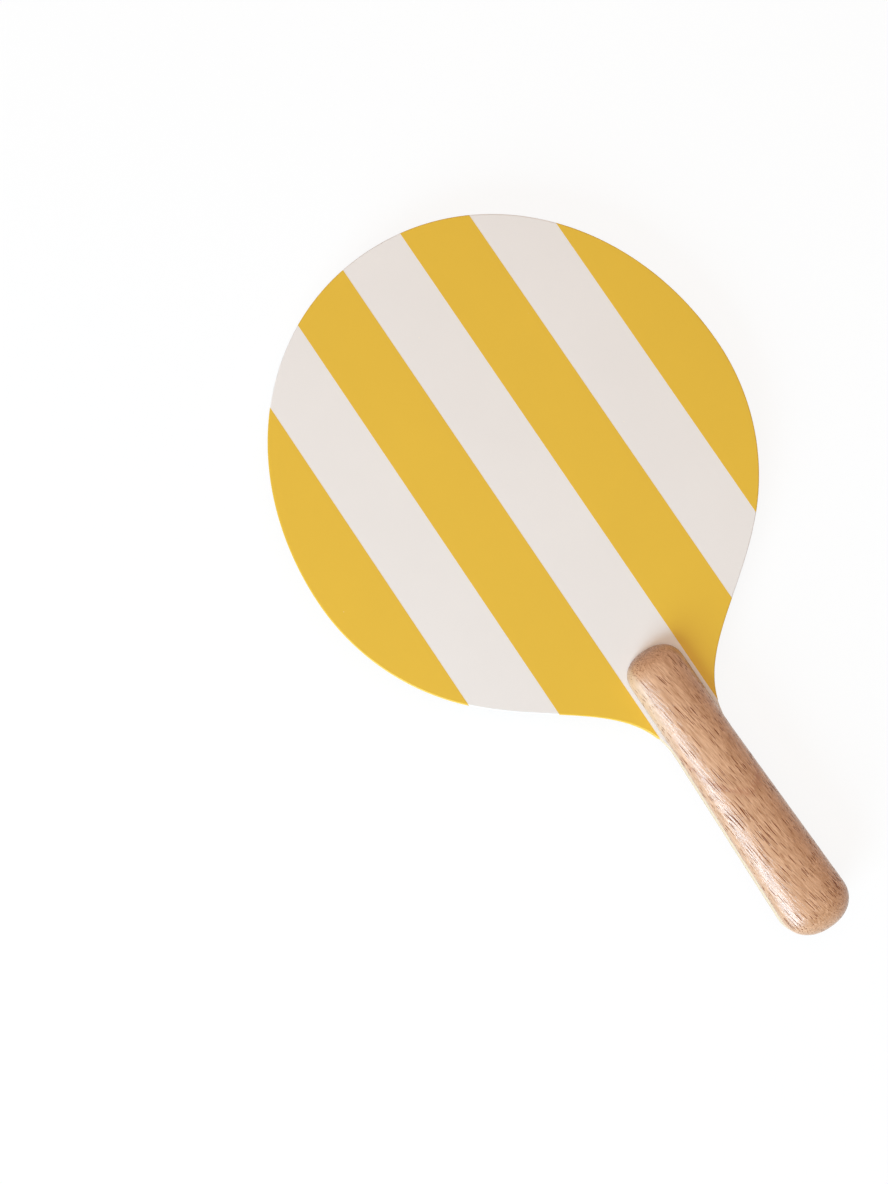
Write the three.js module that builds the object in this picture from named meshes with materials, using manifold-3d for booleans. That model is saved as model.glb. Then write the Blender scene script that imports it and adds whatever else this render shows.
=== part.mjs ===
// Frescobol racket: a paddle sawn from five-ply board, painted in stripes, with a wooden
// scale glued to each side of its tang to make the grip.
// Millimetres. X runs across the blade, +Y from the butt to the tip of the head and +Z out
// of the front face. The origin is at the middle of the length and width, level with the
// back of the grip.
import * as THREE from 'three';
import { mergeVertices } from 'three/addons/utils/BufferGeometryUtils.js';
import Module from 'manifold-3d';

// Blade outline
const overallLength = 400;
const headWidth = 237;
const crownHeight = 133.5;         // from the widest line up to the tip of the head
const crownRoundnessShare = 2.035; // exponent of the crown's curve, a hair fuller than an ellipse
const roundAngle = 39;             // degrees that the head stays round below the widest line
const neckEndDrop = 161.5;         // from the widest line down to the straight sides of the tang
const neckPullAtHead = 48;         // how far the neck's curve runs on along the head's round
const neckPullAtTang = 39;         // how far it runs on along the tang's side

// Plies, from a face to the middle of the board
const faceVeneerThickness = 1.0;
const crossBandThickness = 1.6;
const coreVeneerThickness = 1.8;

// Edge of the board
const edgeEase = 0.8;              // radius of the sanded corner between face and edge
const easeFadeLength = 24;         // length of neck over which the sanded corner runs out

// Paint
const coatThickness = 0.2;
const stripeBleed = 1.9;           // how much wider than the head the stripes are together
const cutOverrun = 5;              // how far a cutting box runs past what it cuts

// Grip
const scaleRunOntoBlade = 53.6;    // how far the scales run on past the neck
const gripWidthAtBlade = 30.2;     // on the blade and at the neck, from where the grip widens
const gripWidthAtButt = 35.5;
const scaleThickness = 11;
const innerEndRounding = 12.5;     // length of a scale's rounded end on the blade
const buttRounding = 14.5;         // length of the rounded butt end
const sectionRoundnessShare = 2.2; // exponent of a scale's cross-section
const innerEndRoundnessShare = 2.4; // exponent of the outline of a scale's end on the blade
const buttRoundnessShare = 2.2;    // exponent of the butt's outline

// Facets
const crownSteps = 28;
const roundSteps = 9;
const neckSteps = 20;
const buttSteps = 8;
const easeSteps = 2;
const innerEndSteps = 8;
const scaleNeckSteps = 2;
const scaleTangSteps = 4;
const sectionSteps = 9;

// Colours and finishes
const yellowEnamel = new THREE.MeshStandardMaterial({ color: 0xe6b63c, roughness: 0.45, metalness: 0 });
const whiteEnamel = new THREE.MeshStandardMaterial({ color: 0xeae2da, roughness: 0.5, metalness: 0 });
const birchVeneer = new THREE.MeshStandardMaterial({ color: 0xdcc39a, roughness: 0.7, metalness: 0 });
const poplarVeneer = new THREE.MeshStandardMaterial({ color: 0xc9ab7c, roughness: 0.75, metalness: 0 });
const lacqueredRubberwood = new THREE.MeshStandardMaterial({ color: 0xcfa279, roughness: 0.4, metalness: 0 });

// Places that follow from the sizes above
const boardThickness = 2 * faceVeneerThickness + 2 * crossBandThickness + coreVeneerThickness;
const tipY = overallLength / 2;
const buttY = -overallLength / 2;
const widestY = tipY - crownHeight;
const neckEndY = widestY - neckEndDrop;
const headRadius = headWidth / 2;
const gripTopY = neckEndY + scaleRunOntoBlade;
const buttRoundingY = buttY + buttRounding;
const boardBackZ = scaleThickness + coatThickness;
const boardFrontZ = boardBackZ + boardThickness;
const boardMiddleZ = (boardBackZ + boardFrontZ) / 2;

const wasm = await Module();
wasm.setup();

const racket = new THREE.Group();
racket.name = 'frescobol_racket';

function addPiece(name, geometry, material) {
  const mesh = new THREE.Mesh(geometry, material);
  mesh.name = name;
  racket.add(mesh);
}

// Half the width of the grip at a height along the racket: even on the blade, widening from the
// neck to the butt
function gripHalfWidth(y) {
  const share = Math.min((y - buttRoundingY) / (neckEndY - buttRoundingY), 1);
  return THREE.MathUtils.lerp(gripWidthAtButt, gripWidthAtBlade, share) / 2;
}

// Point on a quarter of a superellipse, at an angle from its first half axis
function superPoint(angle, halfAxisA, halfAxisB, exponent) {
  const power = 2 / exponent;
  return new THREE.Vector2(halfAxisA * Math.cos(angle) ** power, halfAxisB * Math.sin(angle) ** power);
}

// Right-hand side of the butt's rounded end, from the grip's side down to the middle
function buttCurve() {
  const points = [];
  for (let step = 1; step <= buttSteps; step += 1) {
    const angle = (Math.PI / 2) * (step / buttSteps);
    const corner = superPoint(angle, gripHalfWidth(buttRoundingY), buttRounding, buttRoundnessShare);
    points.push(new THREE.Vector2(step === buttSteps ? 0 : corner.x, buttRoundingY - corner.y));
  }
  return points;
}

// Right-hand side of the blade from tip to butt: crown, round, hollow neck and tang
function bladeSide() {
  const round = THREE.MathUtils.degToRad(roundAngle);
  const cheek = new THREE.EllipseCurve(0, widestY, headRadius, headRadius, 0, -round, true);
  const cheekEnd = cheek.getPoint(1);
  const cheekDirection = new THREE.Vector2(-Math.sin(round), -Math.cos(round));
  const tangTop = new THREE.Vector2(gripHalfWidth(neckEndY), neckEndY);
  const tangBottom = new THREE.Vector2(gripHalfWidth(buttRoundingY), buttRoundingY);
  const tangDirection = tangBottom.clone().sub(tangTop).normalize();
  const neck = new THREE.CubicBezierCurve(
    cheekEnd,
    cheekEnd.clone().addScaledVector(cheekDirection, neckPullAtHead),
    tangTop.clone().addScaledVector(tangDirection, -neckPullAtTang),
    tangTop,
  );
  const points = [new THREE.Vector2(0, tipY)];
  for (let step = 1; step <= crownSteps; step += 1) {
    const angle = (Math.PI / 2) * (1 - step / crownSteps);
    const corner = superPoint(angle, headRadius, crownHeight, crownRoundnessShare);
    points.push(new THREE.Vector2(corner.x, widestY + corner.y));
  }
  points.push(...cheek.getPoints(roundSteps).slice(1));
  points.push(...neck.getPoints(neckSteps).slice(1));
  points.push(tangBottom, ...buttCurve());
  return points;
}

// Whole outline, anticlockwise seen from the front, from a right-hand side that starts and ends on the middle
function mirrored(side) {
  const right = side.slice().reverse();
  const left = side.slice(1, -1).map((point) => new THREE.Vector2(-point.x, point.y));
  return right.concat(left);
}

// Outward direction at each point of an anticlockwise outline
function outwardAt(outline, index) {
  const before = outline[(index + outline.length - 1) % outline.length];
  const after = outline[(index + 1) % outline.length];
  return new THREE.Vector2(after.y - before.y, before.x - after.x).normalize();
}

// A ring of points in space: an outline moved outwards by a distance and set at a height
function ring(outline, outAt, heightAt) {
  return outline.map((point, index) => {
    const moved = point.clone().addScaledVector(outwardAt(outline, index), outAt(point));
    return new THREE.Vector3(moved.x, moved.y, heightAt(point));
  });
}

// The blade's outline at one height
function level(z, out = 0) {
  return ring(blade, () => out, () => z);
}

// Turns corner positions and triangles into a geometry, leaving out triangles with no area
function toGeometry(corners, triangles) {
  const geometry = new THREE.BufferGeometry();
  geometry.setAttribute('position', new THREE.Float32BufferAttribute(corners.flatMap((c) => [c.x, c.y, c.z]), 3));
  geometry.setIndex(triangles.flat());
  const merged = mergeVertices(geometry);
  const index = merged.getIndex().array;
  const kept = [];
  for (let i = 0; i < index.length; i += 3) {
    const [a, b, c] = [index[i], index[i + 1], index[i + 2]];
    if (a !== b && b !== c && c !== a) kept.push(a, b, c);
  }
  merged.setIndex(kept);
  merged.computeVertexNormals();
  return merged;
}

// Walls between rings that follow each other upwards, each ring anticlockwise from above
function walls(rings) {
  const count = rings[0].length;
  const triangles = [];
  for (let low = 0; low < (rings.length - 1) * count; low += count) {
    const high = low + count;
    for (let i = 0; i < count; i += 1) {
      const next = (i + 1) % count;
      triangles.push([low + i, low + next, high + next], [low + i, high + next, high + i]);
    }
  }
  return triangles;
}

// Triangles that fill a level ring, facing up
function lid(points) {
  return THREE.ShapeUtils.triangulateShape(points.map((point) => new THREE.Vector2(point.x, point.y)), []);
}

// The same triangles for corners that start further on in a list, facing the other way if asked
function movedOn(triangles, first, turned = false) {
  return triangles.map(([a, b, c]) => (
    turned ? [first + a, first + c, first + b] : [first + a, first + b, first + c]
  ));
}

// Surface through rings that rise to a flat top
function cover(rings) {
  return [...walls(rings), ...movedOn(lid(rings.at(-1)), (rings.length - 1) * rings[0].length)];
}

// Closed solid through rings that rise from a flat bottom to a flat top
function stacked(rings) {
  return toGeometry(rings.flat(), [...cover(rings), ...movedOn(lid(rings[0]), 0, true)]);
}

// The same solid mirrored to the other side of the board
function mirroredToBack(geometry) {
  const copy = geometry.clone().scale(1, 1, -1).translate(0, 0, 2 * boardMiddleZ);
  const index = copy.getIndex().array;
  for (let i = 0; i < index.length; i += 3) [index[i], index[i + 1]] = [index[i + 1], index[i]];
  copy.computeVertexNormals();
  return copy;
}

function toSolid(geometry) {
  const bare = geometry.clone();
  bare.deleteAttribute('normal');
  const mesh = new wasm.Mesh({
    numProp: 3,
    vertProperties: new Float32Array(bare.getAttribute('position').array),
    triVerts: new Uint32Array(bare.getIndex().array),
  });
  return new wasm.Manifold(mesh);
}

function fromSolid(solid) {
  const mesh = solid.getMesh();
  const geometry = new THREE.BufferGeometry();
  geometry.setAttribute('position', new THREE.Float32BufferAttribute(Array.from(mesh.vertProperties), 3));
  geometry.setIndex(Array.from(mesh.triVerts));
  geometry.computeVertexNormals();
  return geometry;
}

// Box between two corners, for cutting
function boxBetween(low, high) {
  const size = high.clone().sub(low);
  const box = new THREE.BoxGeometry(size.x, size.y, size.z);
  box.translate((low.x + high.x) / 2, (low.y + high.y) / 2, (low.z + high.z) / 2);
  box.deleteAttribute('normal');
  box.deleteAttribute('uv');
  return mergeVertices(box);
}

const blade = mirrored(bladeSide());

// Radius of the sanded corner: full all round the head, running out along the neck
function easeAt(point) {
  return edgeEase * THREE.MathUtils.smoothstep(point.y, neckEndY, neckEndY + easeFadeLength);
}

// Rings over the sanded corner from the edge up to the front face, with a coat on them
function cornerRings(coat) {
  const rings = [];
  for (let step = 0; step <= easeSteps; step += 1) {
    const angle = (Math.PI / 2) * (step / easeSteps);
    const across = Math.cos(angle);
    const up = Math.sin(angle);
    rings.push(ring(
      blade,
      (point) => coat * across - easeAt(point) * (1 - across),
      (point) => boardFrontZ + coat * up - easeAt(point) * (1 - up),
    ));
  }
  return rings;
}

// The board: five plies, the grain of each crossing the last
function makePlies() {
  const crossBandFrontZ = boardFrontZ - faceVeneerThickness;
  const coreFrontZ = crossBandFrontZ - crossBandThickness;
  const coreBackZ = coreFrontZ - coreVeneerThickness;
  const faceVeneer = stacked([level(crossBandFrontZ), ...cornerRings(0)]);
  const crossBand = stacked([level(coreFrontZ), level(crossBandFrontZ)]);
  addPiece('face_veneer_front', faceVeneer, birchVeneer);
  addPiece('cross_band_front', crossBand, poplarVeneer);
  addPiece('core_veneer', stacked([level(coreBackZ), level(coreFrontZ)]), birchVeneer);
  addPiece('cross_band_back', mirroredToBack(crossBand), poplarVeneer);
  addPiece('face_veneer_back', mirroredToBack(faceVeneer), birchVeneer);
}

// The paint of the front: over the face, round the sanded corner and down the edge to the middle
function paintSkin() {
  const outer = [level(boardMiddleZ, coatThickness), ...cornerRings(coatThickness)];
  const inner = [level(boardMiddleZ), ...cornerRings(0)];
  const rim = [inner[0], outer[0]];
  const outerCorners = outer.flat();
  const innerCorners = inner.flat();
  return toGeometry([...outerCorners, ...innerCorners, ...rim.flat()], [
    ...cover(outer),
    ...movedOn(cover(inner), outerCorners.length, true),
    ...movedOn(walls(rim), outerCorners.length + innerCorners.length),
  ]);
}

// The painted stripes: seven on each face, each round the edge to the middle of the board, named
// from the left of the front. The middle one also takes the face of the tang, under the scales.
// The tang's edge is sanded bare with the scales
function makeStripes() {
  const places = ['far_left', 'left', 'inner_left', 'centre', 'inner_right', 'right', 'far_right'];
  const middle = (places.length - 1) / 2;
  const stripeWidth = (headWidth + stripeBleed) / places.length;
  const lowZ = boardMiddleZ - cutOverrun;
  const highZ = boardFrontZ + coatThickness + cutOverrun;
  const edgeX = headRadius + coatThickness + cutOverrun;
  const tangBox = toSolid(boxBetween(
    new THREE.Vector3(-edgeX, buttY - cutOverrun, lowZ),
    new THREE.Vector3(edgeX, neckEndY, highZ),
  ));
  const overFace = toSolid(stacked([level(boardFrontZ), level(highZ)]));
  const skin = toSolid(paintSkin()).subtract(tangBox.subtract(overFace));
  places.forEach((place, index) => {
    const centreX = (index - middle) * stripeWidth;
    const leftX = index === 0 ? -edgeX : centreX - stripeWidth / 2;
    const rightX = index === places.length - 1 ? edgeX : centreX + stripeWidth / 2;
    const band = toSolid(boxBetween(
      new THREE.Vector3(leftX, buttY - cutOverrun, lowZ),
      new THREE.Vector3(rightX, tipY + cutOverrun, highZ),
    ));
    const stripe = fromSolid(skin.intersect(index === middle ? band.add(tangBox) : band.subtract(tangBox)));
    const yellow = index % 2 === 0;
    const colour = yellow ? 'yellow' : 'white';
    const enamel = yellow ? yellowEnamel : whiteEnamel;
    addPiece(`front_${colour}_stripe_${place}`, stripe, enamel);
    addPiece(`back_${colour}_stripe_${place}`, mirroredToBack(stripe), enamel);
  });
}

// Right-hand side of a scale's outline from its round upper end to the butt, with the point on
// the middle line that each point closes in on as the section rises
function scaleSide() {
  const innerSpineY = gripTopY - innerEndRounding;
  const points = [{ rim: new THREE.Vector2(0, gripTopY), spineY: innerSpineY }];
  for (let step = 1; step < innerEndSteps; step += 1) {
    const angle = (Math.PI / 2) * (1 - step / innerEndSteps);
    const corner = superPoint(angle, gripHalfWidth(innerSpineY), innerEndRounding, innerEndRoundnessShare);
    points.push({ rim: new THREE.Vector2(corner.x, innerSpineY + corner.y), spineY: innerSpineY });
  }
  const alongSide = (y) => points.push({ rim: new THREE.Vector2(gripHalfWidth(y), y), spineY: y });
  for (let step = 0; step < scaleNeckSteps; step += 1) {
    alongSide(THREE.MathUtils.lerp(innerSpineY, neckEndY, step / scaleNeckSteps));
  }
  for (let step = 0; step <= scaleTangSteps; step += 1) {
    alongSide(THREE.MathUtils.lerp(neckEndY, buttRoundingY, step / scaleTangSteps));
  }
  buttCurve().forEach((rim) => points.push({ rim, spineY: buttRoundingY }));
  return points;
}

// A wooden scale: flat where it is glued, crowned across, domed at both ends
function makeScales() {
  const right = scaleSide();
  const left = right.slice(1, -1).map(({ rim, spineY }) => ({ rim: new THREE.Vector2(-rim.x, rim.y), spineY }));
  const outline = right.slice().reverse().concat(left);
  const seatZ = boardFrontZ + coatThickness;
  const rings = [];
  for (let step = 0; step <= sectionSteps; step += 1) {
    const angle = (Math.PI / 2) * (step / sectionSteps);
    const section = superPoint(angle, 1, scaleThickness, sectionRoundnessShare);
    const reachShare = step === sectionSteps ? 0 : section.x;
    rings.push(outline.map(({ rim, spineY }) => new THREE.Vector3(
      rim.x * reachShare,
      THREE.MathUtils.lerp(spineY, rim.y, reachShare),
      seatZ + section.y,
    )));
  }
  const scale = toGeometry(rings.flat(), [...walls(rings), ...movedOn(lid(rings[0]), 0, true)]);
  addPiece('handle_scale_front', scale, lacqueredRubberwood);
  addPiece('handle_scale_back', mirroredToBack(scale), lacqueredRubberwood);
}

makePlies();
makeStripes();
makeScales();

export default racket;
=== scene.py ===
# Frescobol racket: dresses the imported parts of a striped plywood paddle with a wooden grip.
# Metres. X runs across the blade, +Y from the butt to the tip and +Z out of the front face.
# Names that end in _MM hold millimetres, which the patterns of the finishes are drawn in.

import math

import bmesh
import bpy
from bpy.props import FloatProperty, FloatVectorProperty, IntProperty, StringProperty
from mathutils import Matrix, Vector


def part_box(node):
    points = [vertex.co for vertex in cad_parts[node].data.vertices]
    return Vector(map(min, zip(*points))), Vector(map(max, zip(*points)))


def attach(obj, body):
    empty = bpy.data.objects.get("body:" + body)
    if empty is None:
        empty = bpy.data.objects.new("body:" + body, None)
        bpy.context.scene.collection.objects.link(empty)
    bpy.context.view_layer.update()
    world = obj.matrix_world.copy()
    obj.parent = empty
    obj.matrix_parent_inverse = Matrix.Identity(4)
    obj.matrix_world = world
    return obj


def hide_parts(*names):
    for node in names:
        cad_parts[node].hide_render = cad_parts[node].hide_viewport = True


bl_info = {
    "name": "Frescobol Racket",
    "version": (1, 0, 0),
    "blender": (4, 5, 0),
    "location": "3D View > Sidebar > Racket",
    "description": "Paints the blade, shapes the grip and lights a striped beach racket",
    "category": "Object",
}

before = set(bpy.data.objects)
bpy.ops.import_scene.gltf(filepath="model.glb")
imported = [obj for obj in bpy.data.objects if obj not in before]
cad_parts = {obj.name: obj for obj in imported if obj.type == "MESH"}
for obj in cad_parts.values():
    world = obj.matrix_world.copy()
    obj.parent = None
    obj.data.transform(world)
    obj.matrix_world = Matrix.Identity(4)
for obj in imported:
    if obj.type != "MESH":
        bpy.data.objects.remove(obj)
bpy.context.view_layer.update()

MM = 0.001
QUARTER_TURN = math.pi / 2
BODY = "root"
SIDES = ("front", "back")
PLACES = ("far_left", "left", "inner_left", "centre", "inner_right", "right", "far_right")
MIDDLE_PLACE = PLACES.index("centre")

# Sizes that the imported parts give
board_low, board_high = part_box("core_veneer")
face_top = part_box("face_veneer_front")[1].z
paint_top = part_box("front_white_stripe_centre")[1].z
scale_low, scale_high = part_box("handle_scale_front")
HEAD_WIDTH = board_high.x - board_low.x
BOARD_MIDDLE_Z = (board_low.z + board_high.z) / 2
COAT = paint_top - face_top
SCALE_THICKNESS = scale_high.z - scale_low.z
GRIP_TOP_Y = scale_high.y
BUTT_Y = scale_low.y
GRIP_WIDTH_AT_BUTT = scale_high.x - scale_low.x

# Steps over the sanded corner, and the flat border of paint that ends them on the face
CORNER_STEPS = 8
FLAT_BORDER = 0.35 * MM
# The shading stays crisp over an edge that turns by more than this
CRISP_ANGLE = math.radians(40)
# Corners this close are one: where the sanded corner or the paint runs out, at a seam, at a cut
RUN_OUT_REACH = 0.001 * MM
SEAM_REACH = 0.0005 * MM
CUT_REACH = 0.0001 * MM

# Camera axes in the racket's frame, to the right of the picture and up it
CAMERA_RIGHT = Vector((0.83132, -0.55555, 0.01644))
CAMERA_UP = Vector((0.55230, 0.82904, 0.08745))
SENSOR_HEIGHT_MM = 36.0

# Sockets of the mixing node when it mixes colours
MIX_SHARE = 0
MIX_FIRST = 6
MIX_SECOND = 7
MIX_COLOUR = 2


class RacketBladeSizes(bpy.types.PropertyGroup):
    """Outline, sanded edge and veneers of the board"""

    crown_height: FloatProperty(
        name="Crown height",
        description="From the widest line up to the tip",
        default=133.5 * MM,
        unit="LENGTH",
    )
    crown_roundness: FloatProperty(
        name="Crown roundness",
        description="Exponent of the crown's curve, 2 for an ellipse",
        default=2.035,
        min=1.5,
    )
    round_angle: FloatProperty(
        name="Round angle",
        description="How far the head stays round below the widest line",
        default=math.radians(39),
        subtype="ANGLE",
    )
    neck_drop: FloatProperty(
        name="Neck drop",
        description="From the widest line down to the straight sides of the tang",
        default=161.5 * MM,
        unit="LENGTH",
    )
    pull_at_head: FloatProperty(
        name="Pull at the head",
        description="How far the neck's curve runs on along the head's round",
        default=48 * MM,
        unit="LENGTH",
    )
    pull_at_tang: FloatProperty(
        name="Pull at the tang",
        description="How far the neck's curve runs on along the tang's side",
        default=39 * MM,
        unit="LENGTH",
    )
    corner_radius: FloatProperty(
        name="Corner radius",
        description="Sanded corner between face and edge",
        default=0.45 * MM,
        unit="LENGTH",
    )
    corner_fade: FloatProperty(
        name="Corner fade",
        description="Length of neck over which the sanded corner runs out",
        default=24 * MM,
        unit="LENGTH",
    )
    birch_light: StringProperty(
        name="Light birch",
        description="Pale grain of the birch as an sRGB hex value",
        default="EBD3AA",
    )
    birch_dark: StringProperty(
        name="Dark birch",
        description="Dark grain of the birch as an sRGB hex value",
        default="D9BB90",
    )
    poplar_light: StringProperty(
        name="Light poplar",
        description="Pale grain of the poplar as an sRGB hex value",
        default="D8BA92",
    )
    poplar_dark: StringProperty(
        name="Dark poplar",
        description="Dark grain of the poplar as an sRGB hex value",
        default="C09D74",
    )


class RacketPaintSettings(bpy.types.PropertyGroup):
    """Stripes and the two enamels"""

    stripe_bleed: FloatProperty(
        name="Bleed",
        description="How much wider than the head the seven stripes are together",
        default=1.9 * MM,
        unit="LENGTH",
    )
    paint_step: FloatProperty(
        name="Paint step",
        description="How far the yellow stands proud of the white ground coat",
        default=0.05 * MM,
        unit="LENGTH",
    )
    bare_length: FloatProperty(
        name="Bare edge",
        description="How far above the neck's end the board's edge is sanded bare",
        default=14 * MM,
        unit="LENGTH",
    )
    edge_fade: FloatProperty(
        name="Edge fade",
        description="Length over which the paint on the board's edge runs out",
        default=0.2 * MM,
        unit="LENGTH",
    )
    yellow: StringProperty(
        name="Yellow",
        description="Yellow enamel as an sRGB hex value",
        default="E1B42D",
    )
    white: StringProperty(
        name="White",
        description="White enamel as an sRGB hex value",
        default="E7E0DA",
    )
    dust: StringProperty(
        name="Dust",
        description="Specks of dust under the film as an sRGB hex value",
        default="FFF3D8",
    )


class RacketGripSettings(bpy.types.PropertyGroup):
    """Wooden scales of the grip"""

    width_at_blade: FloatProperty(
        name="Width at the blade",
        description="Width of the grip down to the neck",
        default=30.2 * MM,
        unit="LENGTH",
    )
    inner_rounding: FloatProperty(
        name="Inner rounding",
        description="Length of the rounded end on the blade",
        default=12.5 * MM,
        unit="LENGTH",
    )
    inner_roundness: FloatProperty(
        name="Inner roundness",
        description="Exponent of the outline of the end on the blade",
        default=2.4,
        min=1.5,
    )
    butt_rounding: FloatProperty(
        name="Butt rounding",
        description="Length of the rounded butt end",
        default=14.5 * MM,
        unit="LENGTH",
    )
    roundness: FloatProperty(
        name="Roundness",
        description="Exponent of the section and of the butt's outline",
        default=2.2,
        min=1.5,
    )
    grain_lean: FloatProperty(
        name="Grain lean",
        description="Angle of the grain to the grip's axis, across the face",
        default=math.radians(8),
        subtype="ANGLE",
    )
    grain_dive: FloatProperty(
        name="Grain dive",
        description="Angle at which the grain runs into the face",
        default=math.radians(3.5),
        subtype="ANGLE",
    )
    ring_phase: FloatProperty(
        name="Ring phase",
        description="Shift of the growth rings, in rings",
        default=0.78,
    )
    wood_light: StringProperty(
        name="Light wood",
        description="Pale fibres as an sRGB hex value",
        default="DAA881",
    )
    wood_dark: StringProperty(
        name="Dark wood",
        description="Dark fibres as an sRGB hex value",
        default="AA754A",
    )
    late_wood: StringProperty(
        name="Late wood",
        description="Line between two years' growth as an sRGB hex value",
        default="A86A45",
    )
    # Pale colour painted on the grip's left flank as a sheen of light, not a colour of the wood
    painted_flank_sheen: StringProperty(
        name="Painted flank sheen",
        description="Pale streak as an sRGB hex value",
        default="DBB998",
    )
    pore: StringProperty(
        name="Pores",
        description="Open pores as an sRGB hex value",
        default="6C2E00",
    )


class RacketStageSettings(bpy.types.PropertyGroup):
    """Floor, lamps and camera"""

    floor_radius: FloatProperty(
        name="Floor radius",
        description="Radius of the flat floor",
        default=5.0,
        unit="LENGTH",
    )
    sweep_radius: FloatProperty(
        name="Sweep radius",
        description="Radius of the curve from floor to wall",
        default=2.0,
        unit="LENGTH",
    )
    wall_height: FloatProperty(
        name="Wall height",
        description="Height of the wall round the floor",
        default=4.0,
        unit="LENGTH",
    )
    key_power: FloatProperty(
        name="Key power",
        description="Power of the low key lamp",
        default=94.0,
        unit="POWER",
    )
    key_size: FloatProperty(
        name="Key size",
        description="Side of the key lamp",
        default=1.44,
        unit="LENGTH",
    )
    key_from: FloatVectorProperty(
        name="Key position",
        description="Place of the key lamp",
        default=(-2.08, -0.95, 1.05),
        subtype="TRANSLATION",
    )
    key_tint: StringProperty(
        name="Key tint",
        description="Cool daylight as an sRGB hex value",
        default="C8E9FF",
    )
    fill_power: FloatProperty(
        name="Fill power",
        description="Power of the lamp overhead",
        default=37.5,
        unit="POWER",
    )
    fill_size: FloatProperty(
        name="Fill size",
        description="Side of the lamp overhead",
        default=3.0,
        unit="LENGTH",
    )
    fill_from: FloatVectorProperty(
        name="Fill position",
        description="Place of the lamp overhead",
        default=(-0.1, 0.3, 2.0),
        subtype="TRANSLATION",
    )
    fill_tint: StringProperty(
        name="Fill tint",
        description="Warm room light as an sRGB hex value",
        default="FFE3CB",
    )
    sky_strength: FloatProperty(
        name="Sky strength",
        description="Even light from all round",
        default=0.15,
    )
    camera_from: FloatVectorProperty(
        name="Camera position",
        description="Place of the camera",
        default=(-0.10508, -0.00457, 0.66563),
        subtype="TRANSLATION",
    )
    focal_pixels: IntProperty(
        name="Focal length in pixels",
        description="Focal length in pixels of the photograph",
        default=1330,
    )
    photo_height: IntProperty(
        name="Photo height",
        description="Height of the photograph in pixels",
        default=1184,
    )


def linear(hex_colour):
    """Linear colour of an sRGB hex value."""
    channels = [int(hex_colour[i:i + 2], 16) / 255 for i in (0, 2, 4)]
    straight = [c / 12.92 if c <= 0.04045 else ((c + 0.055) / 1.055) ** 2.4 for c in channels]
    return (*straight, 1.0)


def grey(share):
    """Linear grey that gives back a share of the light."""
    return (share, share, share, 1.0)


def per_mm(sizes_mm):
    """Scale of a pattern that repeats at these sizes in millimetres along X, Y and Z."""
    return tuple(1 / size for size in sizes_mm)


def add_node(tree, kind, inputs=None, **settings):
    """Adds a node with its settings, and sets or links its inputs."""
    node = tree.nodes.new(kind)
    for name, value in settings.items():
        setattr(node, name, value)
    for key, value in (inputs or {}).items():
        if isinstance(value, bpy.types.NodeSocket):
            tree.links.new(value, node.inputs[key])
        else:
            node.inputs[key].default_value = value
    return node


def new_material(name):
    """A material with an empty node tree."""
    material = bpy.data.materials.new(name)
    material.use_nodes = True
    material.node_tree.nodes.clear()
    return material, material.node_tree


def place_in_mm(tree):
    """Position on the racket in millimetres."""
    where = add_node(tree, "ShaderNodeTexCoord")
    scaled = add_node(
        tree,
        "ShaderNodeVectorMath",
        {0: where.outputs["Object"], "Scale": 1 / MM},
        operation="SCALE",
    )
    return scaled.outputs[0]


def smooth_step(t):
    """Eases from 0 to 1 as t runs from 0 to 1."""
    t = min(max(t, 0.0), 1.0)
    return t * t * (3 - 2 * t)


def widest_line():
    """Height of the head's widest line."""
    return board_high.y - bpy.context.scene.racket_blade.crown_height


def neck_end():
    """Height of the neck's end, where the grip begins to widen towards the butt."""
    return widest_line() - bpy.context.scene.racket_blade.neck_drop


def butt_start():
    """Height at which the rounded butt end begins."""
    return BUTT_Y + bpy.context.scene.racket_grip.butt_rounding


def paint_stop():
    """Height at which the paint on the board's edge stops. Below it the edge was sanded bare with
    the scales."""
    return neck_end() + bpy.context.scene.racket_paint.bare_length


def grip_half_width(y):
    """Half the width of the grip at a height along the racket: even on the blade, widening from
    the neck to the butt."""
    at_blade = bpy.context.scene.racket_grip.width_at_blade
    share = min((y - butt_start()) / (neck_end() - butt_start()), 1.0)
    return (GRIP_WIDTH_AT_BUTT + (at_blade - GRIP_WIDTH_AT_BUTT) * share) / 2


def super_point(angle, half_a, half_b, exponent):
    """Point on a quarter of a superellipse, at an angle from its first half axis."""
    power = 2 / exponent
    return half_a * max(math.cos(angle), 0.0) ** power, half_b * math.sin(angle) ** power


def butt_curve(steps):
    """Right-hand side of the butt's rounded end, from the grip's side down to the middle."""
    grip = bpy.context.scene.racket_grip
    half_width = grip_half_width(butt_start())
    points = []
    for step in range(1, steps + 1):
        angle = QUARTER_TURN * step / steps
        x, drop = super_point(angle, half_width, grip.butt_rounding, grip.roundness)
        points.append(Vector((0.0 if step == steps else x, butt_start() - drop)))
    return points


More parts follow.
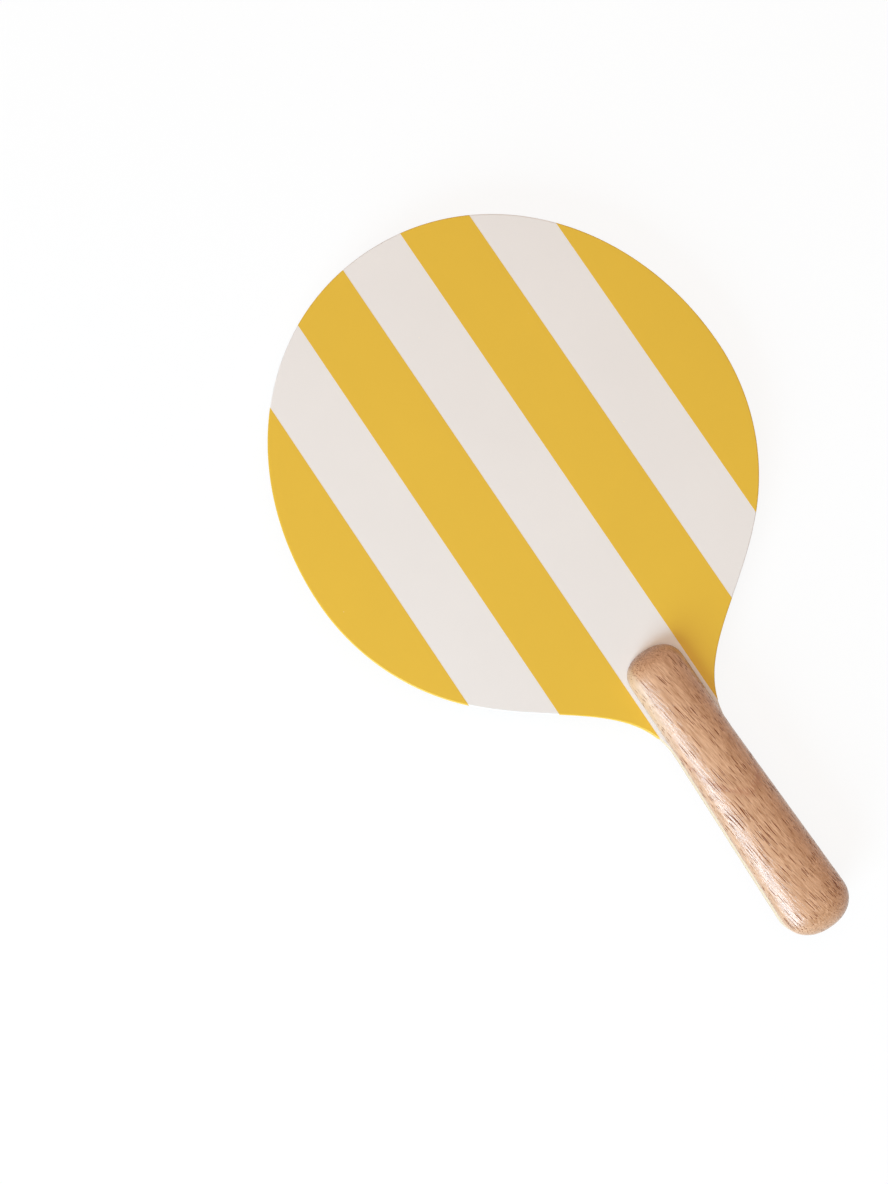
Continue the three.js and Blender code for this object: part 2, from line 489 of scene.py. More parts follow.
def blade_outline():
    """Outline of the board, anticlockwise from the front, starting at the butt's middle."""
    sizes = bpy.context.scene.racket_blade
    radius = HEAD_WIDTH / 2
    widest_y = widest_line()
    crown_steps, cheek_steps, neck_steps, tang_steps, butt_steps = 96, 30, 60, 24, 24
    # Crown, from the tip to the widest line
    side = []
    for step in range(crown_steps + 1):
        angle = QUARTER_TURN * (1 - step / crown_steps)
        x, rise = super_point(angle, radius, sizes.crown_height, sizes.crown_roundness)
        side.append(Vector((0.0 if step == 0 else x, widest_y + rise)))
    # Cheek, where the head stays round
    for step in range(1, cheek_steps + 1):
        angle = sizes.round_angle * step / cheek_steps
        side.append(Vector((radius * math.cos(angle), widest_y - radius * math.sin(angle))))
    # Neck, a hollow cubic curve into the straight side of the tang
    start = side[-1]
    leaving = Vector((-math.sin(sizes.round_angle), -math.cos(sizes.round_angle)))
    end = Vector((grip_half_width(neck_end()), neck_end()))
    tang_end = Vector((grip_half_width(butt_start()), butt_start()))
    along_tang = (tang_end - end).normalized()
    pulls = (start, start + leaving * sizes.pull_at_head, end - along_tang * sizes.pull_at_tang, end)
    for step in range(1, neck_steps + 1):
        t = step / neck_steps
        weights = ((1 - t) ** 3, 3 * t * (1 - t) ** 2, 3 * t * t * (1 - t), t ** 3)
        side.append(sum((p * w for p, w in zip(pulls, weights)), Vector((0.0, 0.0))))
    # Tang and butt
    for step in range(1, tang_steps + 1):
        side.append(end.lerp(tang_end, step / tang_steps))
    side += butt_curve(butt_steps)
    # Two more points on the same line, so that the paint stops short there
    for height in (paint_stop() + bpy.context.scene.racket_paint.edge_fade, paint_stop()):
        index = next(index for index, point in enumerate(side) if point.y < height)
        above, below = side[index - 1], side[index]
        side.insert(index, above.lerp(below, (above.y - height) / (above.y - below.y)))
    right = list(reversed(side))
    left = [Vector((-p.x, p.y)) for p in side[1:-1]]
    return right + left


def outward(outline, index):
    """Outward direction at a point of an anticlockwise outline."""
    before = outline[index - 1]
    after = outline[(index + 1) % len(outline)]
    return Vector((after.y - before.y, before.x - after.x)).normalized()


def corner_at(y):
    """Radius of the sanded corner at a height along the racket."""
    sizes = bpy.context.scene.racket_blade
    return sizes.corner_radius * smooth_step((y - neck_end()) / sizes.corner_fade)


def paint_share(y):
    """How much paint is left on the board's edge: all of it round the head, none below its stop."""
    return smooth_step((y - paint_stop()) / bpy.context.scene.racket_paint.edge_fade)


def add_ring(mesh, outline, out_at, height_at):
    """Adds the outline to a mesh, moved outward and set at a height that may change along it."""
    corners = []
    for index, point in enumerate(outline):
        moved = point + outward(outline, index) * out_at(point.y)
        corners.append(mesh.verts.new((moved.x, moved.y, height_at(point.y))))
    return corners


def add_strip(mesh, low, high, smooth):
    """Adds the faces between two rings, facing out where the second is the upper one."""
    for index in range(len(low)):
        after = (index + 1) % len(low)
        face = mesh.faces.new((low[index], low[after], high[after], high[index]))
        face.smooth = smooth


def add_corner(mesh, outline, top, coat, cover):
    """Adds rings over the sanded corner from the edge up to a face, with a coat of paint on them
    that covers a share of the corner from the face down."""
    found = []
    for step in range(CORNER_STEPS + 1):
        def angle(y):
            return QUARTER_TURN * (1 - (1 - step / CORNER_STEPS) * cover(y))

        found.append(
            add_ring(
                mesh,
                outline,
                lambda y: coat * math.cos(angle(y)) - corner_at(y) * (1 - math.cos(angle(y))),
                lambda y: top + coat * math.sin(angle(y)) - corner_at(y) * (1 - math.sin(angle(y))),
            )
        )
    return found


def join_doubles(mesh, reach):
    """Joins corners that fall together."""
    bmesh.ops.remove_doubles(mesh, verts=mesh.verts, dist=reach)


def ply_mesh(outline, node, rounded):
    """A ply sawn to the outline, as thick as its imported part. An outer one carries the sanded
    corner on its upper side."""
    low, high = (corner.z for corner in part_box(node))
    mesh = bmesh.new()
    rings = [add_ring(mesh, outline, lambda y: 0.0, lambda y: low)]
    if rounded:
        rings += add_corner(mesh, outline, high, 0.0, lambda y: 1.0)
    else:
        rings.append(add_ring(mesh, outline, lambda y: 0.0, lambda y: high))
    for below, above in zip(rings, rings[1:]):
        add_strip(mesh, below, above, smooth=True)
    mesh.faces.new(list(reversed(rings[0])))
    mesh.faces.new(rings[-1])
    join_doubles(mesh, RUN_OUT_REACH)
    return mesh


def paint_skin(outline, coat):
    """The paint of the front as one closed mesh, down the edge to the middle of the board. Where the
    edge is bare it lies on the face alone, up to the sanded corner."""
    mesh = bmesh.new()

    def rings(thickness):
        return [
            add_ring(
                mesh,
                outline,
                lambda y: thickness * paint_share(y) - corner_at(y) * (1 - paint_share(y)),
                lambda y: face_top + (BOARD_MIDDLE_Z - face_top) * paint_share(y),
            ),
            *add_corner(mesh, outline, face_top, thickness, paint_share),
            add_ring(
                mesh,
                outline,
                lambda y: -corner_at(y) - FLAT_BORDER,
                lambda y: face_top + thickness,
            ),
        ]

    outer = rings(coat)
    inner = rings(0.0)
    for low, high in zip(outer, outer[1:]):
        add_strip(mesh, low, high, smooth=True)
    for low, high in zip(inner, inner[1:]):
        add_strip(mesh, high, low, smooth=False)
    add_strip(mesh, inner[0], outer[0], smooth=False)
    mesh.faces.new(outer[-1])
    mesh.faces.new(list(reversed(inner[-1])))
    join_doubles(mesh, RUN_OUT_REACH)
    return mesh


def cut(mesh, point, direction, fill):
    """Cuts a mesh by a plane and takes away the side that the direction points to."""
    everything = mesh.verts[:] + mesh.edges[:] + mesh.faces[:]
    found = bmesh.ops.bisect_plane(
        mesh,
        geom=everything,
        dist=CUT_REACH,
        plane_co=point,
        plane_no=direction,
        clear_outer=True,
    )
    edges = [item for item in found["geom_cut"] if isinstance(item, bmesh.types.BMEdge)]
    if fill:
        bmesh.ops.edgeloop_fill(mesh, edges=edges)


def stripe_edges(place):
    """Left and right edge of a stripe, across the stripes from their middle, or None at the rim."""
    bleed = bpy.context.scene.racket_paint.stripe_bleed
    width = (HEAD_WIDTH + bleed) / len(PLACES)
    middle = (PLACES.index(place) - MIDDLE_PLACE) * width
    left = None if place == PLACES[0] else middle - width / 2
    right = None if place == PLACES[-1] else middle + width / 2
    return left, right


def stripe_mesh(skin, place):
    """One stripe cut from a skin. The middle one also keeps the tang."""
    neck = Vector((0, neck_end(), 0))
    across = Vector((1, 0, 0))
    along = Vector((0, 1, 0))
    mesh = skin.copy()
    cut(mesh, neck, -along, fill=False)
    left, right = stripe_edges(place)
    if left is not None:
        cut(mesh, across * left, -across, fill=True)
    if right is not None:
        cut(mesh, across * right, across, fill=True)
    if place == PLACES[MIDDLE_PLACE]:
        tang = skin.copy()
        cut(tang, neck, along, fill=False)
        data = bpy.data.meshes.new("tang")
        tang.to_mesh(data)
        tang.free()
        mesh.from_mesh(data)
        bpy.data.meshes.remove(data)
        join_doubles(mesh, SEAM_REACH)
    bmesh.ops.recalc_face_normals(mesh, faces=mesh.faces)
    return mesh


def keep_corners_crisp(mesh):
    """Keeps the shading from running smoothly round the true corners of a piece."""
    for edge in mesh.edges:
        if len(edge.link_faces) == 2 and edge.calc_face_angle() > CRISP_ANGLE:
            edge.smooth = False


def on_side(side, mesh):
    """Leaves a mesh on the front, or mirrors it to the back of the board."""
    if side == "back":
        flip = Matrix.Translation((0, 0, 2 * BOARD_MIDDLE_Z)) @ Matrix.Scale(-1, 4, Vector((0, 0, 1)))
        bmesh.ops.transform(mesh, matrix=flip, verts=mesh.verts)
        bmesh.ops.reverse_faces(mesh, faces=mesh.faces)
    return mesh


def link_object(name, data):
    """Puts a mesh, a lamp or a camera into the scene."""
    thing = bpy.data.objects.new(name, data)
    bpy.context.scene.collection.objects.link(thing)
    return thing


def mesh_object(name, mesh, material):
    """Turns a finished mesh into an object of one material."""
    data = bpy.data.meshes.new(name)
    mesh.to_mesh(data)
    mesh.free()
    data.materials.append(material)
    return link_object(name, data)


def add_piece(name, mesh, node, material):
    """Makes a piece from a mesh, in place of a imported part, riding on the racket's one body."""
    keep_corners_crisp(mesh)
    piece = mesh_object(name, mesh, material)
    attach(piece, BODY)
    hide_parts(node)


# Enamel: patches of uneven film and how dark they get, the orange peel, the grain of the veneer under
# it across, along and into the face, and the depth of the relief that these two make
FILM_PATCH_MM = 40
FILM_DARKEST = 0.955
PEEL_MM = 1.5
GRAIN_UNDER_FILM_MM = (0.7, 24, 0.7)
FILM_RELIEF_MM = 0.01
# Specks of dust: how far apart they are, where one begins and is full, and how much it shows
DUST_SPACING_MM = 16
DUST_RIM_MM = 0.352
DUST_CORE_MM = 0.192
DUST_SHARE = 0.45


def enamel(name, hex_colour):
    """Sprayed satin enamel over sanded plywood: an even colour with a fine orange peel, the veneer's
    grain showing through faintly and a few pale specks of dust under the film."""
    material, tree = new_material(name)
    mm = place_in_mm(tree)
    colour = linear(hex_colour)
    darker = (*(channel * FILM_DARKEST for channel in colour[:3]), 1.0)
    patches = add_node(
        tree,
        "ShaderNodeTexNoise",
        {"Vector": mm, "Scale": 1 / FILM_PATCH_MM, "Detail": 3.0},
    )
    # Dust nibs up to 0.7 mm across, one in some 60 square centimetres
    specks = add_node(
        tree,
        "ShaderNodeTexVoronoi",
        {"Vector": mm, "Scale": 1 / DUST_SPACING_MM, "Randomness": 1.0},
    )
    speck = add_node(
        tree,
        "ShaderNodeMapRange",
        {
            "Value": specks.outputs["Distance"],
            "From Min": DUST_RIM_MM / DUST_SPACING_MM,
            "From Max": DUST_CORE_MM / DUST_SPACING_MM,
            "To Max": DUST_SHARE,
        },
    )
    dust = linear(bpy.context.scene.racket_paint.dust)
    base = darker
    for share, over in ((patches.outputs["Fac"], colour), (speck.outputs[0], dust)):
        base = add_node(
            tree,
            "ShaderNodeMix",
            {MIX_SHARE: share, MIX_FIRST: base, MIX_SECOND: over},
            data_type="RGBA",
        ).outputs[MIX_COLOUR]
    # Orange peel, and the grain of the veneer along the racket
    peel = add_node(tree, "ShaderNodeTexNoise", {"Vector": mm, "Scale": 1 / PEEL_MM, "Detail": 1.0})
    stretched = add_node(
        tree,
        "ShaderNodeVectorMath",
        {0: mm, 1: per_mm(GRAIN_UNDER_FILM_MM)},
        operation="MULTIPLY",
    )
    grain = add_node(
        tree,
        "ShaderNodeTexNoise",
        {"Vector": stretched.outputs[0], "Scale": 1.0, "Detail": 2.0},
    )
    relief = add_node(
        tree,
        "ShaderNodeMath",
        {0: peel.outputs["Fac"], 1: grain.outputs["Fac"]},
        operation="ADD",
    )
    bump = add_node(
        tree,
        "ShaderNodeBump",
        {"Height": relief.outputs[0], "Strength": 0.35, "Distance": FILM_RELIEF_MM * MM},
    )
    rough = add_node(
        tree,
        "ShaderNodeMapRange",
        {"Value": peel.outputs["Fac"], "To Min": 0.40, "To Max": 0.48},
    )
    shader = add_node(
        tree,
        "ShaderNodeBsdfPrincipled",
        {
            "Base Color": base,
            "Roughness": rough.outputs[0],
            "IOR": 1.5,
            "Normal": bump.outputs[0],
        },
    )
    add_node(tree, "ShaderNodeOutputMaterial", {"Surface": shader.outputs[0]})
    return material


# Veneer: its grain across and along the fibres, and the depth of the relief on a cut edge
VENEER_ACROSS_MM = 0.5
VENEER_ALONG_MM = 25
VENEER_RELIEF_MM = 0.02


def veneer(name, light_hex, dark_hex, along_y):
    """Rotary-cut veneer. Its cut edge shows beside the grip: soft lines where the grain runs along
    the racket, fine specks of end grain where it runs across, both under a thin satin lacquer."""
    material, tree = new_material(name)
    mm = place_in_mm(tree)
    across, along = VENEER_ACROSS_MM, VENEER_ALONG_MM
    grain_mm = (across, along, across) if along_y else (along, across, across)
    stretched = add_node(
        tree,
        "ShaderNodeVectorMath",
        {0: mm, 1: per_mm(grain_mm)},
        operation="MULTIPLY",
    )
    grain = add_node(
        tree,
        "ShaderNodeTexNoise",
        {"Vector": stretched.outputs[0], "Scale": 1.0, "Detail": 3.0},
    )
    spread = add_node(
        tree,
        "ShaderNodeMapRange",
        {"Value": grain.outputs["Fac"], "From Min": 0.3, "From Max": 0.7},
    ).outputs[0]
    base = add_node(
        tree,
        "ShaderNodeMix",
        {MIX_SHARE: spread, MIX_FIRST: linear(dark_hex), MIX_SECOND: linear(light_hex)},
        data_type="RGBA",
    )
    bump = add_node(
        tree,
        "ShaderNodeBump",
        {"Height": spread, "Strength": 0.5, "Distance": VENEER_RELIEF_MM * MM},
    )
    shader = add_node(
        tree,
        "ShaderNodeBsdfPrincipled",
        {
            "Base Color": base.outputs[MIX_COLOUR],
            "Roughness": 0.6,
            "Normal": bump.outputs[0],
            "Coat Weight": 0.5,
            "Coat Roughness": 0.3,
        },
    )
    add_node(tree, "ShaderNodeOutputMaterial", {"Surface": shader.outputs[0]})
    return material


# Grain of the grip: the length of its bends, and how far they go across, along and into the face
GRAIN_BEND_MM = (40, 45, 40)
GRAIN_WANDER_MM = (5.0, 0.0, 0.8)
# Fibres, spacing of the vessels, and the parts of the log in which these stand closer and wider,
# each across, along and into the face
FIBRE_MM = (0.8, 12, 0.8)
VESSEL_MM = (0.5, 18, 0.8)
VESSEL_CROWD_MM = (9, 40, 9)
# Radius of a vessel in shares of that spacing, where they are thin and where they are wide, and the
# least and most of it that one vessel has
VESSEL_RADIUS = (0.2, 0.27)
VESSEL_SHARE = (0.5, 1.4)
# Growth rings: their spacing, the direction that they follow each other in, how ragged the fibres
# make the line between two of them, and half the line's width, both in rings
RING_MM = 40
RING_DIRECTION = (0.2, 0.25, 1)
RING_RAGGED = 0.05
RING_LINE = 0.02
# Streak of painted sheen, a pale colour that paints the light on the grip's left flank: its middle, and
# how far it goes from there across and along
SHEEN_MIDDLE_MM = (-15, -42)
SHEEN_REACH_MM = (5, 52)
# Pores: how deep they are beside the fibres, and the depth of the whole relief
PORE_DEPTH = 0.3
WOOD_RELIEF_MM = 0.09


def grain_place(tree, mm):
    """Position in the log. The grain leans off the grip's axis and wanders, so that its straight
    vessels meet the face as long lines in one place and as short dashes in another."""
    grip = bpy.context.scene.racket_grip
    leaning = add_node(
        tree,
        "ShaderNodeMapping",
        {"Vector": mm, "Rotation": (grip.grain_dive, 0.0, -grip.grain_lean)},
    )
    slow = add_node(
        tree,
        "ShaderNodeVectorMath",
        {0: mm, 1: per_mm(GRAIN_BEND_MM)},
        operation="MULTIPLY",
    )
    wander = add_node(
        tree,
        "ShaderNodeTexNoise",
        {"Vector": slow.outputs[0], "Scale": 1.0, "Detail": 1.0},
    )
    centred = add_node(
        tree,
        "ShaderNodeVectorMath",
        {0: wander.outputs["Color"], 1: (0.5, 0.5, 0.5)},
        operation="SUBTRACT",
    )
    bent = add_node(
        tree,
        "ShaderNodeVectorMath",
        {0: centred.outputs[0], 1: GRAIN_WANDER_MM, 2: leaning.outputs[0]},
        operation="MULTIPLY_ADD",
    )
    return bent.outputs[0]


def vessels(tree, place):
    """Open pores: vessels 0.1 to 0.4 mm wide, each cut open by the face over up to 13 mm."""
    stretched = add_node(
        tree,
        "ShaderNodeVectorMath",
        {0: place, 1: per_mm(VESSEL_MM)},
        operation="MULTIPLY",
    )
    cells = add_node(
        tree,
        "ShaderNodeTexVoronoi",
        {"Vector": stretched.outputs[0], "Scale": 1.0, "Randomness": 1.0},
    )
    # They stand closer and wider in some parts of the log than in others
    parts = add_node(
        tree,
        "ShaderNodeVectorMath",
        {0: place, 1: per_mm(VESSEL_CROWD_MM)},
        operation="MULTIPLY",
    )
    crowd = add_node(
        tree,
        "ShaderNodeTexNoise",
        {"Vector": parts.outputs[0], "Scale": 1.0, "Detail": 0.0},
    )
    radius = add_node(
        tree,
        "ShaderNodeMapRange",
        {
            "Value": crowd.outputs["Fac"],
            "From Min": 0.35,
            "From Max": 0.65,
            "To Min": VESSEL_RADIUS[0],
            "To Max": VESSEL_RADIUS[1],
        },
    )
    # Each has a width of its own
    own = add_node(
        tree,
        "ShaderNodeMapRange",
        {
            "Value": cells.outputs["Color"],
            "From Min": 0.25,
            "From Max": 0.75,
            "To Min": VESSEL_SHARE[0],
            "To Max": VESSEL_SHARE[1],
        },
    )
    reach = add_node(
        tree,
        "ShaderNodeMath",
        {0: radius.outputs[0], 1: own.outputs[0]},
        operation="MULTIPLY",
    )
    inside = add_node(
        tree,
        "ShaderNodeMath",
        {0: reach.outputs[0], 1: cells.outputs["Distance"]},
        operation="SUBTRACT",
    )
    # Their rims fade over 0.02 mm across the grain
    return add_node(
        tree,
        "ShaderNodeMapRange",
        {"Value": inside.outputs[0], "From Min": -0.01, "From Max": 0.03},
    ).outputs[0]


def growth_line(tree, place, fibre):
    """Late wood where one year's growth meets the next: a ragged line 2 to 3 mm wide that crosses
    the grip on a slant."""
    grip = bpy.context.scene.racket_grip
    depth = add_node(
        tree,
        "ShaderNodeVectorMath",
        {0: place, 1: tuple(part / RING_MM for part in RING_DIRECTION)},
        operation="DOT_PRODUCT",
    )
    ragged = add_node(
        tree,
        "ShaderNodeMath",
        {0: fibre, 1: RING_RAGGED, 2: depth.outputs["Value"]},
        operation="MULTIPLY_ADD",
    )
    years = add_node(
        tree,
        "ShaderNodeMath",
        {0: ragged.outputs[0], 1: grip.ring_phase},
        operation="ADD",
    )
    year = add_node(tree, "ShaderNodeMath", {0: years.outputs[0]}, operation="FRACT")
    to_line = add_node(tree, "ShaderNodeMath", {0: year.outputs[0], 1: 0.5}, operation="SUBTRACT")
    off_line = add_node(tree, "ShaderNodeMath", {0: to_line.outputs[0]}, operation="ABSOLUTE")
    return add_node(
        tree,
        "ShaderNodeMapRange",
        {"Value": off_line.outputs[0], "From Min": RING_LINE, "From Max": 0.0, "To Max": 0.7},
    ).outputs[0]


def painted_sheen_streak(tree, mm):
    """Painted sheen: a pale streak 5 mm wide and 50 mm long that narrows down the left rim to the neck,
    painting in the light that falls on the grip's left flank.
    """
    middle_x, middle_y = SHEEN_MIDDLE_MM
    reach_x, reach_y = SHEEN_REACH_MM
    from_middle = add_node(
        tree,
        "ShaderNodeVectorMath",
        {
            0: mm,
            1: (1 / reach_x, 1 / reach_y, 0.0),
            2: (-middle_x / reach_x, -middle_y / reach_y, 0.0),
        },
        operation="MULTIPLY_ADD",
    )
    distance = add_node(tree, "ShaderNodeVectorMath", {0: from_middle.outputs[0]}, operation="LENGTH")
    return add_node(
        tree,
        "ShaderNodeMapRange",
        {"Value": distance.outputs["Value"], "From Min": 1.0, "From Max": 0.6, "To Max": 0.6},
    ).outputs[0]


def lacquered_rubberwood():
    """Lacquered rubberwood: an even pinkish tan with faint fibres, a reddish line between two years'
    growth, a paler streak of painted sheen on the grip's left flank, and many thin open pores, which
    the clear satin lacquer leaves open, matt and dark."""
    grip = bpy.context.scene.racket_grip
    material, tree = new_material("lacquered_rubberwood")
    mm = place_in_mm(tree)
    place = grain_place(tree, mm)
    # Fibres from 0.8 mm down to 0.2 mm wide
    thin = add_node(tree, "ShaderNodeVectorMath", {0: place, 1: per_mm(FIBRE_MM)}, operation="MULTIPLY")
    fibres = add_node(
        tree,
        "ShaderNodeTexNoise",
        {"Vector": thin.outputs[0], "Scale": 1.0, "Detail": 2.0, "Roughness": 0.8},
    )
    fibre = add_node(
        tree,
        "ShaderNodeMapRange",
        {"Value": fibres.outputs["Fac"], "From Min": 0.3, "From Max": 0.7},
    ).outputs[0]
    pore = vessels(tree, place)
    # Over the dark fibres come the pale ones, the late wood, the painted sheen of the left flank and
    # the pores
    wood = linear(grip.wood_dark)
    layers = (
        (fibre, grip.wood_light),
        (growth_line(tree, place, fibre), grip.late_wood),
        (painted_sheen_streak(tree, mm), grip.painted_flank_sheen),
        (pore, grip.pore),
    )
    for share, hex_colour in layers:
        wood = add_node(
            tree,
            "ShaderNodeMix",
            {MIX_SHARE: share, MIX_FIRST: wood, MIX_SECOND: linear(hex_colour)},
            data_type="RGBA",
        ).outputs[MIX_COLOUR]
    relief = add_node(
        tree,
        "ShaderNodeMath",
        {0: pore, 1: -PORE_DEPTH, 2: fibre},
        operation="MULTIPLY_ADD",
    )
    bump = add_node(
        tree,
        "ShaderNodeBump",
        {"Height": relief.outputs[0], "Strength": 1.0, "Distance": WOOD_RELIEF_MM * MM},
    )
    # The lacquer doesn't fill the pores
    matt = add_node(tree, "ShaderNodeMapRange", {"Value": pore, "To Min": 0.5, "To Max": 1.0})
    lacquer = add_node(tree, "ShaderNodeMapRange", {"Value": pore, "To Min": 1.0, "To Max": 0.0})
    shader = add_node(
        tree,
        "ShaderNodeBsdfPrincipled",
        {
            "Base Color": wood,
            "Roughness": matt.outputs[0],
            "Specular IOR Level": 0.5,
            "Normal": bump.outputs[0],
            "Coat Weight": lacquer.outputs[0],
            "Coat Roughness": 0.26,
            "Coat Normal": bump.outputs[0],
        },
    )
    add_node(tree, "ShaderNodeOutputMaterial", {"Surface": shader.outputs[0]})
    return material


def scale_mesh():
    """A wooden scale: flat where it is glued, crowned across and domed at both ends."""
    grip = bpy.context.scene.racket_grip
    end_steps, neck_steps, tang_steps, butt_steps, section_steps = 32, 16, 36, 28, 30
    inner_y = GRIP_TOP_Y - grip.inner_rounding
    neck_y = neck_end()
    butt_y = butt_start()
    half_width = grip_half_width(inner_y)
    # Each point of the rim goes with the height on the spine that its section runs up to
    side = []
    for step in range(end_steps):
        angle = QUARTER_TURN * (1 - step / end_steps)
        x, rise = super_point(angle, half_width, grip.inner_rounding, grip.inner_roundness)
        side.append((Vector((0.0 if step == 0 else x, inner_y + rise)), inner_y))
    heights = [inner_y + (neck_y - inner_y) * step / neck_steps for step in range(neck_steps)]
    heights += [neck_y + (butt_y - neck_y) * step / tang_steps for step in range(tang_steps + 1)]
    side += [(Vector((grip_half_width(y), y)), y) for y in heights]
    side += [(rim, butt_y) for rim in butt_curve(butt_steps)]
    outline = list(reversed(side)) + [(Vector((-rim.x, rim.y)), spine) for rim, spine in side[1:-1]]
    mesh = bmesh.new()
    rings = []
    for step in range(section_steps + 1):
        angle = QUARTER_TURN * step / section_steps
        reach, rise = super_point(angle, 1.0, SCALE_THICKNESS, grip.roundness)
        reach = 0.0 if step == section_steps else reach
        rings.append([
            mesh.verts.new((rim.x * reach, spine + (rim.y - spine) * reach, scale_low.z + rise))
            for rim, spine in outline
        ])
    for low, high in zip(rings, rings[1:]):
        add_strip(mesh, low, high, smooth=True)
    mesh.faces.new(list(reversed(rings[0])))
    join_doubles(mesh, SEAM_REACH)
    bmesh.ops.dissolve_degenerate(mesh, edges=mesh.edges, dist=SEAM_REACH)
    return mesh


class RACKET_OT_saw_plies(bpy.types.Operator):
    """Saws the five plies of the board, whose edges show beside the grip"""

    bl_idname = "racket.saw_plies"
    bl_label = "Saw plies"

    def execute(self, context):
        board = context.scene.racket_blade
        birch = veneer("rotary_cut_birch", board.birch_light, board.birch_dark, along_y=True)
        poplar = veneer("cross_laid_poplar", board.poplar_light, board.poplar_dark, along_y=False)
        outline = blade_outline()
        core = ply_mesh(outline, "core_veneer", rounded=False)
        add_piece("birch_core", core, "core_veneer", birch)
        for side in SIDES:
            band = on_side(side, ply_mesh(outline, "cross_band_front", rounded=False))
            add_piece(f"{side}_poplar_ply", band, f"cross_band_{side}", poplar)
            face = on_side(side, ply_mesh(outline, "face_veneer_front", rounded=True))
            add_piece(f"{side}_birch_ply", face, f"face_veneer_{side}", birch)
        return {"FINISHED"}


class RACKET_OT_spray_stripes(bpy.types.Operator):
    """Sprays the seven stripes on each side of the board"""

    bl_idname = "racket.spray_stripes"
    bl_label = "Spray stripes"

    def execute(self, context):
        paint = context.scene.racket_paint
        outline = blade_outline()
        finishes = {
            "yellow": enamel("satin_yellow_enamel", paint.yellow),
            "white": enamel("satin_white_enamel", paint.white),
        }
        skins = {
            "yellow": paint_skin(outline, COAT),
            "white": paint_skin(outline, COAT - paint.paint_step),
        }
        for index, place in enumerate(PLACES):
            colour = "white" if index % 2 else "yellow"
            for side in SIDES:
                add_piece(
                    f"{side}_{colour}_paint_{place}",
                    on_side(side, stripe_mesh(skins[colour], place)),
                    f"{side}_{colour}_stripe_{place}",
                    finishes[colour],
                )
        for skin in skins.values():
            skin.free()
        return {"FINISHED"}


class RACKET_OT_shape_scales(bpy.types.Operator):
    """Shapes the two wooden scales of the grip"""

    bl_idname = "racket.shape_scales"
    bl_label = "Shape scales"

    def execute(self, context):
        wood = lacquered_rubberwood()
        for side in SIDES:
            mesh = on_side(side, scale_mesh())
            add_piece(f"{side}_grip_scale", mesh, f"handle_scale_{side}", wood)
        return {"FINISHED"}


# Floor: shares of the light that it gives back, to the racket and to the camera, and how much of
# what the camera sees is pure white
FLOOR_WHITE = 0.82
SHOWN_WHITE = 0.96
GLOW_SHARE = 0.88


def floor_material():
    """White studio sweep: matt white, shown lighter to the camera so that it reads as pure white
    and still keeps a pale shadow."""
    material, tree = new_material("white_sweep")
    matt = add_node(tree, "ShaderNodeBsdfDiffuse", {"Color": grey(FLOOR_WHITE)})
    pale = add_node(tree, "ShaderNodeBsdfDiffuse", {"Color": grey(SHOWN_WHITE)})
    glow = add_node(tree, "ShaderNodeEmission", {"Strength": 1.0})
    shown = add_node(
        tree,
        "ShaderNodeMixShader",
        {0: GLOW_SHARE, 1: pale.outputs[0], 2: glow.outputs[0]},
    )
    path = add_node(tree, "ShaderNodeLightPath")
    seen = path.outputs["Is Camera Ray"]
    for ray in ("Is Glossy Ray", "Is Transmission Ray"):
        seen = add_node(
            tree,
            "ShaderNodeMath",
            {0: seen, 1: path.outputs[ray]},
            operation="MAXIMUM",
        ).outputs[0]
    mixed = add_node(tree, "ShaderNodeMixShader", {0: seen, 1: matt.outputs[0], 2: shown.outputs[0]})
    add_node(tree, "ShaderNodeOutputMaterial", {"Surface": mixed.outputs[0]})
    return material


def sweep_mesh():
    """Studio sweep: a flat floor that curves up into a wall all round."""
    stage = bpy.context.scene.racket_stage
    turns, curve_steps = 96, 16
    profile = []
    for step in range(curve_steps + 1):
        angle = QUARTER_TURN * step / curve_steps
        rise = stage.sweep_radius * (1 - math.cos(angle))
        profile.append((stage.floor_radius + stage.sweep_radius * math.sin(angle), rise))
    profile.append((profile[-1][0], stage.wall_height))
    around = [2 * math.pi * turn / turns for turn in range(turns)]
    mesh = bmesh.new()
    rings = [
        [mesh.verts.new((radius * math.cos(a), radius * math.sin(a), height)) for a in around]
        for radius, height in profile
    ]
    mesh.faces.new(rings[0])
    for low, high in zip(rings, rings[1:]):
        add_strip(mesh, high, low, smooth=True)
    return mesh


def add_lamp(name, size, power, tint, place, facing):
    """A square soft box."""
    lamp = bpy.data.lights.new(name, "AREA")
    lamp.size = size
    lamp.energy = power
    lamp.color = linear(tint)[:3]
    holder = link_object(name, lamp)
    holder.location = place
    holder.rotation_euler = facing.to_track_quat("-Z", "Y").to_euler()


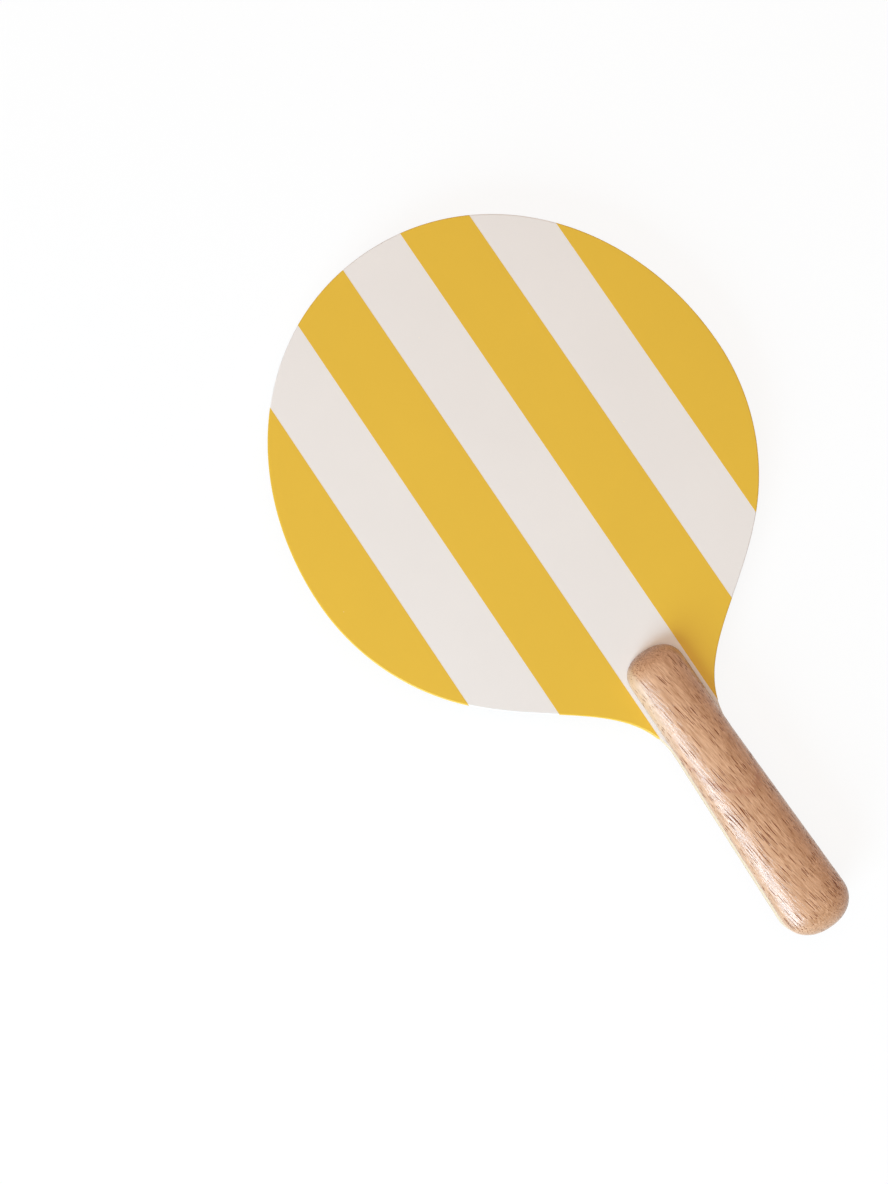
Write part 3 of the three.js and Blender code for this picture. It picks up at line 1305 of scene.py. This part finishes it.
class RACKET_OT_set_stage(bpy.types.Operator):
    """Lays the floor, lights it softly from the left and sets the camera"""

    bl_idname = "racket.set_stage"
    bl_label = "Set stage"

    def execute(self, context):
        scene = context.scene
        stage = scene.racket_stage
        floor = mesh_object("floor", sweep_mesh(), floor_material())

        key_from = Vector(stage.key_from)
        add_lamp("key", stage.key_size, stage.key_power, stage.key_tint, key_from, -key_from)
        fill_from = Vector(stage.fill_from)
        straight_down = Vector((0, 0, -1))
        add_lamp("fill", stage.fill_size, stage.fill_power, stage.fill_tint, fill_from, straight_down)

        world = bpy.data.worlds.new("studio")
        world.use_nodes = True
        sky = world.node_tree.nodes["Background"]
        sky.inputs["Strength"].default_value = stage.sky_strength
        sky.inputs["Color"].default_value = grey(1.0)
        scene.world = world
        scene.view_settings.view_transform = "Standard"

        optics = bpy.data.cameras.new("camera")
        optics.sensor_fit = "VERTICAL"
        optics.sensor_height = SENSOR_HEIGHT_MM
        optics.lens = stage.focal_pixels / stage.photo_height * SENSOR_HEIGHT_MM
        camera = link_object("camera", optics)
        right = CAMERA_RIGHT.normalized()
        up = (CAMERA_UP - right * CAMERA_UP.dot(right)).normalized()
        turned = Matrix((right, up, right.cross(up))).transposed().to_4x4()
        camera.matrix_world = Matrix.Translation(Vector(stage.camera_from)) @ turned
        scene.camera = camera
        return {"FINISHED"}


class RACKET_PT_panel(bpy.types.Panel):
    """Buttons and sizes of the racket"""

    bl_idname = "RACKET_PT_panel"
    bl_label = "Frescobol Racket"
    bl_space_type = "VIEW_3D"
    bl_region_type = "UI"
    bl_category = "Racket"

    def draw(self, context):
        for group_name in GROUPS:
            group = getattr(context.scene, group_name)
            box = self.layout.box()
            for name in group.__annotations__:
                box.prop(group, name)
        for operator in OPERATORS:
            self.layout.operator(operator.bl_idname)


GROUPS = {
    "racket_blade": RacketBladeSizes,
    "racket_paint": RacketPaintSettings,
    "racket_grip": RacketGripSettings,
    "racket_stage": RacketStageSettings,
}
OPERATORS = (
    RACKET_OT_saw_plies,
    RACKET_OT_spray_stripes,
    RACKET_OT_shape_scales,
    RACKET_OT_set_stage,
)


def register():
    for cls in (*GROUPS.values(), *OPERATORS, RACKET_PT_panel):
        bpy.utils.register_class(cls)
    for name, group in GROUPS.items():
        setattr(bpy.types.Scene, name, bpy.props.PointerProperty(type=group))


def unregister():
    for name in GROUPS:
        delattr(bpy.types.Scene, name)
    for cls in (RACKET_PT_panel, *reversed(OPERATORS), *reversed(tuple(GROUPS.values()))):
        bpy.utils.unregister_class(cls)


def main():
    register()
    bpy.ops.racket.saw_plies()
    bpy.ops.racket.spray_stripes()
    bpy.ops.racket.shape_scales()
    bpy.ops.racket.set_stage()


if __name__ == "__main__":
    main()
